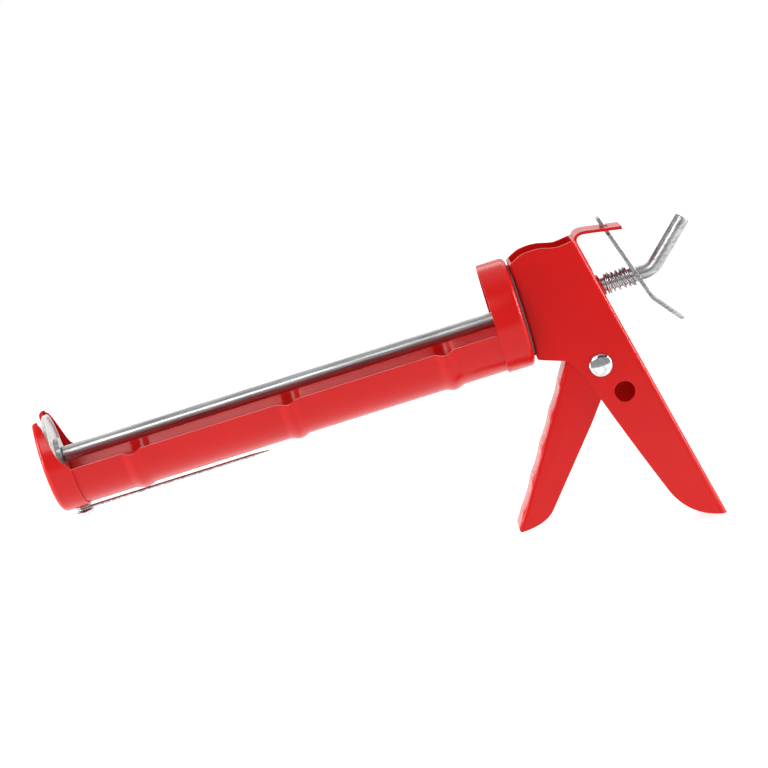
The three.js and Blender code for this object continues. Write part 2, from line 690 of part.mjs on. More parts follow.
function releasePlate(group) {
  const along = new THREE.Vector2(Math.sin(releaseTilt), -Math.cos(releaseTilt));
  const axis = new THREE.Vector2(releaseAtAxis, 0);
  const top = new THREE.Vector2(hinge.x, hinge.z).addScaledVector(along, -tongueRise);
  const corner = axis.clone().addScaledVector(along, lipStart);
  const lip = new THREE.Vector2(Math.sin(lipTilt), -Math.cos(lipTilt));
  const end = corner.clone().addScaledVector(lip, lipLength);
  let plate = strip([top, ...bend(top, corner, end, 4, 4), end], releaseSheet, releaseWidth);
  // Seen along the rod: a narrow tongue, square shoulders and a round lip.
  const half = releaseWidth / 2;
  const neck = tongueWidth / 2;
  const shoulderZ = hinge.z - frameSheet - 1.2;
  const view = new THREE.Shape();
  view.moveTo(-neck, top.y + 2).lineTo(-neck, shoulderZ).lineTo(-half, shoulderZ);
  view.lineTo(-half, end.y + 6).quadraticCurveTo(-half, end.y - 1, 0, end.y - 1);
  view.quadraticCurveTo(half, end.y - 1, half, end.y + 6).lineTo(half, shoulderZ);
  view.lineTo(neck, shoulderZ).lineTo(neck, top.y + 2);
  plate = plate.intersect(alongX(view, 0, 120));
  const hole = new THREE.Shape();
  const upper = 1.8; // room above the rod for the plate to rock forward
  hole.absarc(0, upper, rodBore + 0.1, 0, Math.PI);
  hole.absarc(0, -slip, rodBore + 0.1, Math.PI, Math.PI * 2);
  plate = plate.subtract(alongX(hole, spineAtAxis, 90));
  add(group, 'release_plate', plate, zinc());
  const coilEnd = releaseAtAxis - releaseSheet / 2 / Math.cos(releaseTilt) - seat;
  const lean = Math.tan(releaseTilt);
  const tilted = releaseCoil.wire * lean;
  const coilReach = rodRadius + releaseCoil.room + releaseCoil.wire;
  const coilStart = spineAtAxis + spineBoss.rise / Math.cos(spineTilt) + coilReach * Math.tan(spineTilt);
  add(group, 'release_spring',
    coil(releaseCoil, coilStart + seat, coilEnd - tilted - 0.1, lean), springSteel());
}

// ---- Seal needle -----------------------------------------------------------------------------------------

const needleX = capFront + needleSetBack;
const eyeTop = -cupOuter - 0.6;
const eyeBottom = eyeTop - 2 * needleWire;
const hinge = hingePoint();

function sealNeedle(group) {
  const level = (eyeTop + eyeBottom) / 2;
  const at = (x) => new THREE.Vector3(needleX + x, 0, level);
  const wire = roundBar([
    { point: at(needleEye - 0.8), radius: needleWire },
    { point: at(needleReach - 9), radius: needleWire },
    { point: at(needleReach - 1), radius: 0.35 },
    { point: at(needleReach), radius: 0.1 },
  ], 12);
  const eye = pinZ(needleX, 0, needleEye, eyeBottom, eyeTop);
  const hole = pinZ(needleX, 0, needleShank + slip, eyeBottom - 1, eyeTop + 1);
  add(group, 'seal_needle', eye.add(wire).subtract(hole), springSteel());
}

function needleRivet(group) {
  const head = eyeBottom - slip / 2;
  const upset = -Math.sqrt(cradleBore ** 2 - needleUpset ** 2) + seat;
  const points = [
    [0, head - needleHeadThick], [needleHead - 0.5, head - needleHeadThick],
    [needleHead, head - needleHeadThick + 0.5], [needleHead, head], [needleShank, head],
    [needleShank, upset], [needleUpset, upset], [needleUpset - 0.6, upset + 0.9], [0, upset + 0.9],
  ].map(([r, z]) => new THREE.Vector2(r, z));
  const geometry = new THREE.LatheGeometry(points, smallSides).rotateX(Math.PI / 2);
  add(group, 'needle_rivet', upright(geometry.translate(needleX, 0, 0)), chrome());
  const washer = pinZ(needleX, 0, needleHead - 0.8, eyeTop + slip / 3, -cupOuter - seat / 2)
    .subtract(pinZ(needleX, 0, needleShank + seat, eyeTop - 1, -cupOuter + 2));
  add(group, 'needle_washer', washer, zinc());
}

// ---- Assembly --------------------------------------------------------------------------------------------

const gun = new THREE.Group();
const pieces = [
  handleFrame, trigger, triggerRivet, swivel, rearCollar, barrelTrough, frontCap,
  pushRod, plunger, drive, releasePlate, sealNeedle, needleRivet,
];
pieces.forEach((make) => make(gun));

const bounds = new THREE.Box3().setFromObject(gun);
const middle = bounds.getCenter(new THREE.Vector3());
gun.position.set(-middle.x, -middle.y, -bounds.min.z);

export default gun;
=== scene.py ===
"""Caulking gun: finished surfaces, studio and camera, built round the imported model."""
import math

import bmesh
import bpy
from bpy.props import FloatProperty, FloatVectorProperty, PointerProperty
from bpy.types import Operator, Panel, PropertyGroup
from mathutils import Matrix, Vector


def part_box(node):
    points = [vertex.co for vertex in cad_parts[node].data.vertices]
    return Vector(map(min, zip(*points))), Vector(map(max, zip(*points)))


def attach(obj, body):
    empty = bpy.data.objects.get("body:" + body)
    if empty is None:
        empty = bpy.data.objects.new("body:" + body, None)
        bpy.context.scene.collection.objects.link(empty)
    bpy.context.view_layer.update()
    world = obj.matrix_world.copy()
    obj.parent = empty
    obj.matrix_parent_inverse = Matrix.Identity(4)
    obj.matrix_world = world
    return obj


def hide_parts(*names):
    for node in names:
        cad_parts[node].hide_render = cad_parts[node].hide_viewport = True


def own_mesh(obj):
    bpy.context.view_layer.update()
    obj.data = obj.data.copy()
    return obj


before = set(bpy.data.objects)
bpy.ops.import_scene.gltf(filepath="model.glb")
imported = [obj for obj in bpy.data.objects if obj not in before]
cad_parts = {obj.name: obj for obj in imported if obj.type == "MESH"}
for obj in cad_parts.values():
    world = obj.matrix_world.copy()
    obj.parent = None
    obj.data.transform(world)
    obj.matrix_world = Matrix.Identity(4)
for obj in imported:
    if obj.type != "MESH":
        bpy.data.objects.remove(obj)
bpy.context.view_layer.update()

bl_info = {
    "name": "Caulking gun",
    "version": (1, 0, 0),
    "blender": (4, 5, 0),
    "location": "View3D > Sidebar > Caulking gun",
    "description": "Builds a skeleton caulking gun with its paint, plating and studio",
    "category": "Add Mesh",
}

MM = 0.001
SEATED = 0.12 * MM  # gap between pieces that are fixed to each other
SLIDING = 0.3 * MM  # gap between pieces that move on each other
RIBS = (-194 * MM, -117 * MM, -40 * MM)  # middles of the trough's ribs
COLLAR_LOW, COLLAR_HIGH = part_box("rear_collar")
CAP_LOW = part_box("front_cap")[0]
ROD_LOW, ROD_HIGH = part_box("push_rod")
TROUGH_LOW, TROUGH_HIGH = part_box("barrel_trough")
# Pieces are drawn from the point where the rod's axis crosses the collar's rear face.
ZERO = Vector((COLLAR_HIGH.x, 0, (COLLAR_LOW.z + COLLAR_HIGH.z) / 2))
ROD_RADIUS = (ROD_HIGH.y - ROD_LOW.y) / 2
CUP_RADIUS = (COLLAR_HIGH.y - COLLAR_LOW.y) / 2


def length(label, about, millimetres):
    return FloatProperty(name=label, description=about, default=millimetres * MM, min=0, unit="LENGTH")


def angle(label, about, degrees):
    return FloatProperty(name=label, description=about, default=math.radians(degrees), subtype="ANGLE")


def colour(label, about, rgb):
    return FloatVectorProperty(
        name=label, description=about, default=(*rgb, 1), size=4, min=0, max=1, subtype="COLOR")


def turns(label, about, count):
    return FloatProperty(name=label, description=about, default=count, min=1, unit="NONE")


# ---- Sizes and colours --------------------------------------------------------------------------


class CradleSizes(PropertyGroup):
    sheet: length("Sheet", "Thickness of the trough, the collar and the cap", 1)
    corner: length("Cup corner", "Outer radius where a cup's plate turns into its rim", 2.6)
    edge: length("Edge", "Rounding of the sheet's cut edges", 0.28)
    rib_width: length("Rib width", "Width of a pressed rib", 11)
    rib_height: length("Rib height", "How far a rib stands out", 1.3)
    rib_dip: length("Rib dip", "How far the trough's long edge drops at a rib", 1.6)
    wall_drop: length("Wall drop", "Depth of the trough's long edges below the rod's axis", 4.2)
    rim: length("Cap rim", "Depth of the cap's rim below the axis", 12.8)
    ear_top: length("Ear top", "Height of the cap's ears above the axis", 20.4)
    ear_depth: length("Ear depth", "Depth of an ear near its top", 4.4)
    slot: length("Nozzle slot", "Radius of the slot's round bottom", 9.5)
    bore: length("Collar bore", "Radius of the hole for the swivel bush", 6.8)


class RodSizes(PropertyGroup):
    hook_corner: length("Hook corner", "Where the straight lines of the hook would cross", 65.6)
    hook_length: length("Hook length", "From that crossing to the cut end", 28.6)
    hook_bend: length("Hook bend", "Radius of the rod's middle line at the bend", 10)
    hook_angle: angle("Hook angle", "How far the hook rises", 43)
    spigot: length("Spigot", "Radius of the turned-down front end", 2.5)


class SpringSizes(PropertyGroup):
    drive_radius: length("Drive coil", "Radius of the drive spring's coils", 5.6)
    drive_wire: length("Drive wire", "Radius of the drive spring's wire", 0.6)
    drive_turns: turns("Drive turns", "Turns of the drive spring", 7.5)
    release_radius: length("Release coil", "Radius of the release spring's coils", 4.8)
    release_wire: length("Release wire", "Radius of the release spring's wire", 0.48)
    release_turns: turns("Release turns", "Turns of the release spring", 7.5)
    release_lean: angle("Release lean", "Lean of the release plate, which the coil's end follows", 17.7)
    needle_wire: length("Needle wire", "Radius of the seal needle's wire", 0.8)


class FinishColours(PropertyGroup):
    paint: colour("Paint", "Powder coat of the folded and drawn pieces", (0.53, 0.004, 0.003))
    paint_thin: colour("Thin paint", "Where the coat lies thinner", (0.61, 0.006, 0.005))
    zinc: colour("Zinc", "Bright plating of the rod and plates", (0.54, 0.545, 0.55))
    zinc_dark: colour("Worn zinc", "Drawn marks in the plating", (0.24, 0.245, 0.25))
    chrome: colour("Chrome", "Polished rivet heads", (0.78, 0.79, 0.8))
    wire: colour("Wire", "Drawn spring wire", (0.66, 0.665, 0.67))
    # Paler, less metallic copy of the plunger's zinc, so that the plunger reads bright: a painted
    # highlight standing in for the white it reflects.
    plunger_highlight: colour("Pale zinc", "Plunger zinc made pale as a painted highlight", (0.72, 0.72, 0.7))
    # Near-black fibre of the friction washer, which is also painted shade: the washer darkens the gap
    # between the collar and the handle.
    fibre: colour("Fibre", "Friction washer behind the collar", (0.012, 0.012, 0.012))
    floor: colour("Floor", "Studio floor", (0.5, 0.5, 0.5))


class StudioSettings(PropertyGroup):
    azimuth: angle("Azimuth", "Camera's turn towards the hook", 1.6)
    elevation: angle("Elevation", "Camera's height above the horizon", 9.5)
    roll: angle("Roll", "Camera's lean, which lifts the hook end in its view", 17.7)
    distance: FloatProperty(
        name="Distance", description="Camera to the rod's axis", default=1.258, unit="LENGTH")
    lens: FloatProperty(
        name="Lens", description="Focal length in millimetres", default=123.8, unit="CAMERA")
    aim_back: length("Aim back", "Point aimed at, in front of the collar", 72.0)
    aim_drop: length("Aim drop", "Point aimed at, below the rod's axis", 14.1)


# ---- Finishes -----------------------------------------------------------------------------------


def shader(name):
    """An empty node material with its Principled shader."""
    material = bpy.data.materials.new(name)
    material.use_nodes = True
    nodes = material.node_tree.nodes
    return material, nodes, material.node_tree.links, nodes["Principled BSDF"]


def noise(nodes, links, stretch, scale, detail):
    """Noise on the piece's own coordinates, drawn out along an axis by stretch."""
    place = nodes.new("ShaderNodeTexCoord")
    mapping = nodes.new("ShaderNodeMapping")
    mapping.inputs["Scale"].default_value = stretch
    links.new(place.outputs["Object"], mapping.inputs["Vector"])
    texture = nodes.new("ShaderNodeTexNoise")
    texture.inputs["Scale"].default_value = scale
    texture.inputs["Detail"].default_value = detail
    links.new(mapping.outputs["Vector"], texture.inputs["Vector"])
    return texture.outputs["Fac"]


def ramp(nodes, links, source, stops):
    """A colour ramp over a noise; stops are (place, colour) pairs."""
    node = nodes.new("ShaderNodeValToRGB")
    first, last = node.color_ramp.elements
    first.position, first.color = stops[0]
    last.position, last.color = stops[-1]
    for place, tint in stops[1:-1]:
        node.color_ramp.elements.new(place).color = tint
    links.new(source, node.inputs["Fac"])
    return node.outputs["Color"]


def span(nodes, links, source, low, high):
    """The noise's middle range, spread over low to high."""
    node = nodes.new("ShaderNodeMapRange")
    node.inputs["From Min"].default_value = 0.3
    node.inputs["From Max"].default_value = 0.7
    node.inputs["To Min"].default_value = low
    node.inputs["To Max"].default_value = high
    links.new(source, node.inputs["Value"])
    return node.outputs["Result"]


def bump(nodes, links, source, strength, depth):
    """Fine relief from a noise, depth metres deep at full strength."""
    node = nodes.new("ShaderNodeBump")
    node.inputs["Strength"].default_value = strength
    node.inputs["Distance"].default_value = depth
    links.new(source, node.inputs["Height"])
    return node.outputs["Normal"]


def paint_finish(colours):
    """Glossy powder coat: faint orange peel, slow changes of thickness."""
    material, nodes, links, body = shader("red_powder_coat")
    slow = noise(nodes, links, (1, 1, 1), 22, 2)
    peel = noise(nodes, links, (1, 1, 1), 620, 2)
    tint = ramp(nodes, links, slow, [(0, tuple(colours.paint)), (1, tuple(colours.paint_thin))])
    links.new(tint, body.inputs["Base Color"])
    body.inputs["Roughness"].default_value = 0.24
    links.new(bump(nodes, links, peel, 0.06, 0.00006), body.inputs["Normal"])
    body.inputs["Specular IOR Level"].default_value = 0.28
    return material


def metal_finish(name, bright, dark, stretch, scale, rough, marks, metallic):
    """Steel with drawn marks along one axis, or plain fibre where metallic is 0.

    rough is the lowest and highest roughness, and marks the strength of the relief."""
    material, nodes, links, body = shader(name)
    drawn = noise(nodes, links, stretch, scale, 6)
    cloud = noise(nodes, links, (1, 1, 1), 120, 4)
    tint = ramp(nodes, links, drawn, [(0.3, tuple(dark)), (0.62, tuple(bright))])
    links.new(tint, body.inputs["Base Color"])
    links.new(span(nodes, links, cloud, *rough), body.inputs["Roughness"])
    links.new(bump(nodes, links, drawn, marks, 0.00005), body.inputs["Normal"])
    body.inputs["Metallic"].default_value = metallic
    return material


def finish(name):
    """A finish by its record slot, made on first use."""
    found = bpy.data.materials.get(FINISHES[name][0])
    return found or FINISHES[name][1](bpy.context.scene.gun_colours)


FINISHES = {
    "red_paint": ("red_powder_coat", paint_finish),
    "zinc_plate": ("bright_zinc", lambda c: metal_finish(
        "bright_zinc", c.zinc, c.zinc_dark, (0.03, 1, 1), 1400, (0.27, 0.36), 0.3, 0.92)),
    "chrome": ("polished_chrome", lambda c: metal_finish(
        "polished_chrome", c.chrome, c.zinc, (1, 1, 1), 500, (0.09, 0.13), 0.02, 1)),
    "spring_steel": ("drawn_wire", lambda c: metal_finish(
        "drawn_wire", c.wire, c.zinc_dark, (1, 1, 1), 700, (0.16, 0.24), 0.08, 0.95)),
    # The plunger's paler zinc is a painted highlight: a lit copy of the bright zinc, brighter and less
    # metallic.
    "plunger_highlight_zinc": ("plunger_highlight_zinc", lambda c: metal_finish(
        "plunger_highlight_zinc", c.plunger_highlight, c.zinc, (1, 1, 1), 400, (0.4, 0.5), 0.05, 0.3)),
    # The friction washer's near-black fibre paints the shade in the gap between the collar and the
    # handle.
    "black_fibre": ("black_fibre", lambda c: metal_finish(
        "black_fibre", c.fibre, c.fibre, (1, 1, 1), 500, (0.7, 0.85), 0.1, 0)),
}


# ---- Shapes -------------------------------------------------------------------------------------


def at(x, y, z):
    """A point given in metres from the zero point, in the model's frame."""
    return ZERO + Vector((x, y, z))


def new_piece(name, points, faces):
    """A mesh piece in the scene, with its place in its mesh."""
    mesh = bpy.data.meshes.new(name)
    mesh.from_pydata(points, [], faces)
    mesh.update()
    piece = bpy.data.objects.new(name, mesh)
    bpy.context.scene.collection.objects.link(piece)
    return piece


def tidy_normals(piece):
    """Merges doubles, then turns every face outwards."""
    work = bmesh.new()
    work.from_mesh(piece.data)
    bmesh.ops.remove_doubles(work, verts=work.verts, dist=1e-7)
    bmesh.ops.recalc_face_normals(work, faces=work.faces)
    work.to_mesh(piece.data)
    work.free()


def smooth(piece, sharp=32):
    """Shades a piece smooth, but for its edges above sharp degrees."""
    piece.data.shade_smooth()
    piece.data.set_sharp_from_angle(angle=math.radians(sharp))


def round_edges(piece, width, sharp=32):
    """Rounds the edges above sharp degrees to about this width."""
    bevel = piece.modifiers.new("Edges", "BEVEL")
    bevel.width = width
    bevel.segments = 3
    bevel.limit_method = "ANGLE"
    bevel.angle_limit = math.radians(sharp)
    bevel.harden_normals = True
    bevel.use_clamp_overlap = False


def settle(piece, body, slot, *nodes, look=None):
    """Gives a finished piece its material, its body and the nodes that it stands for."""
    if not piece.data.materials:
        piece.data.materials.append(finish(look or slot))
    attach(piece, body)
    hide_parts(*nodes)


def turned(name, profile, axis="X", centre=(0, 0), sides=96):
    """A closed profile of (place, radius) in metres, turned about a line along axis.

    centre gives the line's two other coordinates, in X, Y, Z order."""
    points, faces = [], []
    for i in range(sides):
        swing = 2 * math.pi * i / sides
        for place, radius in profile:
            u, v = radius * math.cos(swing), radius * math.sin(swing)
            spot = {
                "X": (place, centre[0] + u, centre[1] + v),
                "Y": (centre[0] + u, place, centre[1] + v),
                "Z": (centre[0] + u, centre[1] + v, place),
            }[axis]
            points.append(at(*spot))
    count = len(profile)
    for i in range(sides):
        for k in range(count):
            here, there = i * count, (i + 1) % sides * count
            after = (k + 1) % count
            faces.append((here + k, here + after, there + after, there + k))
    piece = new_piece(name, points, faces)
    tidy_normals(piece)
    return piece


def arc(centre, radius, start, end, steps):
    """Points (place, radius) on part of a circle; angles are in degrees."""
    turns = [math.radians(start + (end - start) * i / steps) for i in range(steps + 1)]
    return [(centre[0] + radius * math.cos(a), centre[1] + radius * math.sin(a)) for a in turns]


def grid_sheet(name, rows):
    """An open sheet from rows of points; every row has the same number."""
    across = len(rows[0])
    points = [p for row in rows for p in row]
    faces = []
    for i in range(len(rows) - 1):
        for k in range(across - 1):
            a = i * across + k
            faces.append((a, a + 1, a + across + 1, a + across))
    return new_piece(name, points, faces)


def thicken(piece, sheet, edge):
    """Gives an open sheet its thickness about its middle surface, and rounds its cut edges."""
    solidify = piece.modifiers.new("Sheet", "SOLIDIFY")
    solidify.thickness = sheet
    solidify.offset = 0
    solidify.use_even_offset = True
    solidify.use_quality_normals = True
    smooth(piece, 40)
    round_edges(piece, edge, 60)


def steps_between(low, high, count):
    """count + 1 even steps from low to high."""
    return [low + (high - low) * i / count for i in range(count + 1)]


def plain_copy(node, name, edge, sharp=32):
    """A node's own solid with its coplanar triangles joined and its edges rounded."""
    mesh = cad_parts[node].data.copy()
    mesh.materials.clear()
    work = bmesh.new()
    work.from_mesh(mesh)
    bmesh.ops.remove_doubles(work, verts=work.verts, dist=2e-6)
    bmesh.ops.dissolve_degenerate(work, edges=work.edges, dist=2e-6)
    bmesh.ops.dissolve_limit(
        work, angle_limit=math.radians(0.5), verts=work.verts, edges=work.edges)
    work.to_mesh(mesh)
    work.free()
    piece = bpy.data.objects.new(name, mesh)
    bpy.context.scene.collection.objects.link(piece)
    smooth(piece, sharp)
    round_edges(piece, edge, sharp)
    return piece


# ---- Geometry Nodes -----------------------------------------------------------------------------


class Tree:
    """A Geometry Nodes tree with named inputs, ending in Realize Instances and Set Material."""

    def __init__(self, name, takes_geometry=False):
        self.group = bpy.data.node_groups.new(name, "GeometryNodeTree")
        if takes_geometry:
            self.socket("Geometry", "NodeSocketGeometry")
        self.group.interface.new_socket(
            name="Geometry", in_out="OUTPUT", socket_type="NodeSocketGeometry")
        self.inputs = self.group.nodes.new("NodeGroupInput")

    def socket(self, name, kind="NodeSocketFloat"):
        self.group.interface.new_socket(name=name, in_out="INPUT", socket_type=kind)

    def sockets(self, *names):
        for name in names:
            self.socket(name)

    def node(self, kind, links=None, **settings):
        made = self.group.nodes.new(kind)
        for key, value in settings.items():
            setattr(made, key, value)
        for key, value in (links or {}).items():
            if isinstance(value, bpy.types.NodeSocket):
                self.group.links.new(value, made.inputs[key])
            else:
                made.inputs[key].default_value = value
        return made

    def maths(self, operation, a, b=0.0):
        return self.node("ShaderNodeMath", {0: a, 1: b}, operation=operation).outputs[0]

    def close(self, mesh, material):
        shaded = self.node("GeometryNodeSetShadeSmooth", {"Geometry": mesh})
        real = self.node("GeometryNodeRealizeInstances", {"Geometry": shaded.outputs["Geometry"]})
        dressed = self.node("GeometryNodeSetMaterial", {
            "Geometry": real.outputs["Geometry"], "Material": material})
        self.node("NodeGroupOutput", {"Geometry": dressed.outputs["Geometry"]})

    def run(self, piece, values):
        """Applies the tree to a piece with these input values and leaves a plain mesh."""
        modifier = piece.modifiers.new(self.group.name, "NODES")
        modifier.node_group = self.group
        for item in self.group.interface.items_tree:
            if item.in_out == "INPUT" and item.name in values:
                modifier[item.identifier] = values[item.name]
        seen = piece.evaluated_get(bpy.context.evaluated_depsgraph_get())
        made = bpy.data.meshes.new_from_object(seen)
        piece.modifiers.clear()
        piece.data = made
        tidy_normals(piece)
        smooth(piece, 50)
        return piece


def coil_tree(material):
    """A compression spring along X whose end turns lie closer and whose far end can lean."""
    tree = Tree("coil_spring")
    tree.sockets("Radius", "Wire", "Turns", "Start", "End", "Height", "Lean")
    given = tree.inputs.outputs
    spiral = tree.node("GeometryNodeCurveSpiral", {
        "Resolution": 40, "Rotations": given["Turns"], "Start Radius": given["Radius"],
        "End Radius": given["Radius"], "Height": 1.0})
    place = tree.node("ShaderNodeSeparateXYZ", {0: tree.node("GeometryNodeInputPosition").outputs[0]})
    # The pitch falls towards both ends, so the end turns nearly close.
    wave = tree.maths("SINE", tree.maths("MULTIPLY", place.outputs["Z"], 2 * math.pi))
    share = tree.maths(
        "SUBTRACT", place.outputs["Z"], tree.maths("MULTIPLY", wave, 0.55 / (2 * math.pi)))
    reach = tree.maths("SUBTRACT", given["End"], given["Start"])
    along = tree.maths("ADD", given["Start"], tree.maths("MULTIPLY", share, reach))
    tilt = tree.maths("MULTIPLY", tree.maths("MULTIPLY", place.outputs["X"], share), given["Lean"])
    spot = tree.node("ShaderNodeCombineXYZ", {
        "X": tree.maths("SUBTRACT", along, tilt),
        "Y": place.outputs["Y"],
        "Z": tree.maths("ADD", place.outputs["X"], given["Height"])})
    moved = tree.node("GeometryNodeSetPosition", {
        "Geometry": spiral.outputs["Curve"], "Position": spot.outputs["Vector"]})
    ring = tree.node("GeometryNodeCurvePrimitiveCircle", {"Resolution": 14, "Radius": given["Wire"]})
    swept = tree.node("GeometryNodeCurveToMesh", {
        "Curve": moved.outputs["Geometry"], "Profile Curve": ring.outputs["Curve"], "Fill Caps": True})
    tree.close(swept.outputs["Mesh"], material)
    return tree


def bar_tree(material, sides):
    """A round bar along the piece's own edges, with its corners bent to a radius."""
    tree = Tree("round_bar", takes_geometry=True)
    tree.sockets("Radius", "Bend")
    given = tree.inputs.outputs
    line = tree.node("GeometryNodeMeshToCurve", {"Mesh": given["Geometry"]})
    bent = tree.node("GeometryNodeFilletCurve", {
        "Curve": line.outputs["Curve"], "Radius": given["Bend"], "Count": 24}, mode="POLY")
    ring = tree.node("GeometryNodeCurvePrimitiveCircle", {"Resolution": sides, "Radius": given["Radius"]})
    swept = tree.node("GeometryNodeCurveToMesh", {
        "Curve": bent.outputs["Curve"], "Profile Curve": ring.outputs["Curve"], "Fill Caps": True})
    tree.close(swept.outputs["Mesh"], material)
    return tree


def path_piece(name, points):
    """A piece that holds only a chain of edges, for a tree to sweep."""
    mesh = bpy.data.meshes.new(name)
    mesh.from_pydata(points, [(i, i + 1) for i in range(len(points) - 1)], [])
    piece = bpy.data.objects.new(name, mesh)
    bpy.context.scene.collection.objects.link(piece)
    return piece


# ---- Operators ----------------------------------------------------------------------------------


class GunOperator:
    """What the operators share."""
    bl_options = {"REGISTER", "UNDO"}


class GUN_OT_trough(GunOperator, Operator):
    """Build the ribbed half-round trough"""
    bl_idname = "gun.trough"
    bl_label = "Trough"

    def execute(self, context):
        sizes = context.scene.gun_cradle
        low, high = TROUGH_LOW.x - ZERO.x, TROUGH_HIGH.x - ZERO.x
        outer = ZERO.z - TROUGH_LOW.z - sizes.rib_height
        middle = outer - sizes.sheet / 2
        half = sizes.rib_width / 2
        stations = [low]
        for place in RIBS:
            stations += steps_between(stations[-1], place - half, 10)[1:-1]
            stations += steps_between(place - half, place + half, 26)
        stations += steps_between(stations[-1], high, 6)[1:]
        rows = []
        for x in stations:
            near = min(RIBS, key=lambda rib: abs(x - rib))
            inside = abs(x - near) < half
            rise = (1 + math.cos(2 * math.pi * (x - near) / sizes.rib_width)) / 2 if inside else 0
            radius = middle + sizes.rib_height * rise
            edge = math.acos((sizes.wall_drop + sizes.rib_dip * rise) / radius)
            rows.append([
                at(x, radius * math.sin(a), -radius * math.cos(a))
                for a in steps_between(-edge, edge, 72)])
        piece = grid_sheet("trough", rows)
        thicken(piece, sizes.sheet, sizes.edge)
        settle(piece, "cradle", "red_paint", "barrel_trough")
        return {"FINISHED"}


class GUN_OT_collar(GunOperator, Operator):
    """Build the drawn cup behind the trough"""
    bl_idname = "gun.collar"
    bl_label = "Collar"

    def execute(self, context):
        sizes = context.scene.gun_cradle
        flat = CUP_RADIUS - sizes.corner
        mouth = COLLAR_LOW.x - ZERO.x
        inner = sizes.corner - sizes.sheet
        profile = [(0, sizes.bore)]
        profile += [(x, r) for x, r in arc((-sizes.corner, flat), sizes.corner, 0, 90, 12)]
        profile += [(mouth, CUP_RADIUS), (mouth, CUP_RADIUS - sizes.sheet)]
        profile += [(x, r) for x, r in arc((-sizes.corner, flat), inner, 90, 0, 10)]
        profile += [(-sizes.sheet, sizes.bore)]
        piece = turned("collar", profile, sides=128)
        smooth(piece, 40)
        round_edges(piece, sizes.edge, 60)
        settle(piece, "cradle", "red_paint", "rear_collar")
        return {"FINISHED"}


class GUN_OT_cap(GunOperator, Operator):
    """Build the front cap with its nozzle slot and two ears"""
    bl_idname = "gun.cap"
    bl_label = "Front cap"

    def bezier(self, a, b, c, d, count):
        points = []
        for t in steps_between(0, 1, count):
            s = 1 - t
            points.append(tuple(
                s ** 3 * p + 3 * s * s * t * q + 3 * s * t * t * r + t ** 3 * w
                for p, q, r, w in zip(a, b, c, d)))
        return points

    def lookup(self, table, value):
        """Straight-line reading of a table of (key, result) pairs in rising order."""
        if value <= table[0][0]:
            return table[0][1]
        for (k0, r0), (k1, r1) in zip(table, table[1:]):
            if value <= k1:
                return r0 + (r1 - r0) * (value - k0) / max(k1 - k0, 1e-9)
        return table[-1][1]

    def execute(self, context):
        sizes = context.scene.gun_cradle
        front = CAP_LOW.x - ZERO.x
        rim = sizes.rim
        middle = CUP_RADIUS - sizes.sheet / 2
        bend = sizes.corner - sizes.sheet / 2
        flat = CUP_RADIUS - sizes.corner
        # The rim's rear edge: its depth at each height.
        depth, top = sizes.ear_depth, sizes.ear_top
        low = -sizes.wall_drop - 2 * MM
        edge = self.bezier((low, rim), (-3 * MM, rim), (-0.6 * MM, 10.6 * MM), (0.8 * MM, 9 * MM), 14)
        edge += self.bezier((0.8 * MM, 9 * MM), (5 * MM, 7 * MM), (12 * MM, 6 * MM),
                            (top - 2 * MM, depth), 14)[1:]
        edge += [(top - 2 * MM * math.cos(a), depth - 1.2 * MM * math.sin(a))
                 for a in steps_between(0, math.pi / 2, 8)][1:]
        # The slot's edge: its distance from the axis at each angle up from straight down.
        mouth = math.sqrt(CUP_RADIUS ** 2 - top ** 2) - sizes.corner - 0.4 * MM
        side = self.bezier((sizes.slot, 0), (sizes.slot + 3 * MM, 6 * MM), (mouth + 1.5 * MM, 8 * MM),
                           (mouth, top + 2 * MM), 24)
        slot = [(math.atan2(y, -z), math.hypot(y, z)) for y, z in side]
        limit = math.acos(-top / middle)
        rows = []
        for a in steps_between(-limit, limit, 176):
            start = self.lookup(slot, abs(a)) if abs(a) > math.pi / 2 else sizes.slot
            back = self.lookup(edge, -middle * math.cos(a))
            start = min(start, flat + bend)
            if start > flat:
                start = flat + bend * math.asin((start - flat) / bend)
            stop = flat + bend * math.pi / 2 + back - sizes.corner
            if back < sizes.corner:
                stop = flat + bend * math.acos(1 - back / sizes.corner)
            row = []
            for s in steps_between(start, stop, 46):
                turn = min(max((s - flat) / bend, 0), math.pi / 2)
                radius = min(s, flat) + bend * math.sin(turn)
                x = sizes.sheet / 2 + bend * (1 - math.cos(turn)) + max(0, s - flat - bend * math.pi / 2)
                row.append(at(front + x, radius * math.sin(a), -radius * math.cos(a)))
            rows.append(row)
        piece = grid_sheet("nozzle_cap", rows)
        thicken(piece, sizes.sheet, sizes.edge)
        settle(piece, "cradle", "red_paint", "front_cap")
        return {"FINISHED"}


class GUN_OT_folded(GunOperator, Operator):
    """Round the edges of the folded and stamped sheet pieces"""
    bl_idname = "gun.folded"
    bl_label = "Folded pieces"

    def execute(self, context):
        for node, name, edge, body, slot in (
            ("handle_frame", "handle", 0.3, "frame", "red_paint"),
            ("trigger", "trigger_lever", 0.3, "trigger", "red_paint"),
            ("release_plate", "release_lever", 0.22, "release", "zinc_plate"),
            ("drive_plate", "grip_plate", 0.3, "drive", "zinc_plate"),
            ("plunger_nut", "hex_nut", 0.25, "rod", "zinc_plate"),
        ):
            settle(plain_copy(node, name, edge * MM), body, slot, node)
        return {"FINISHED"}


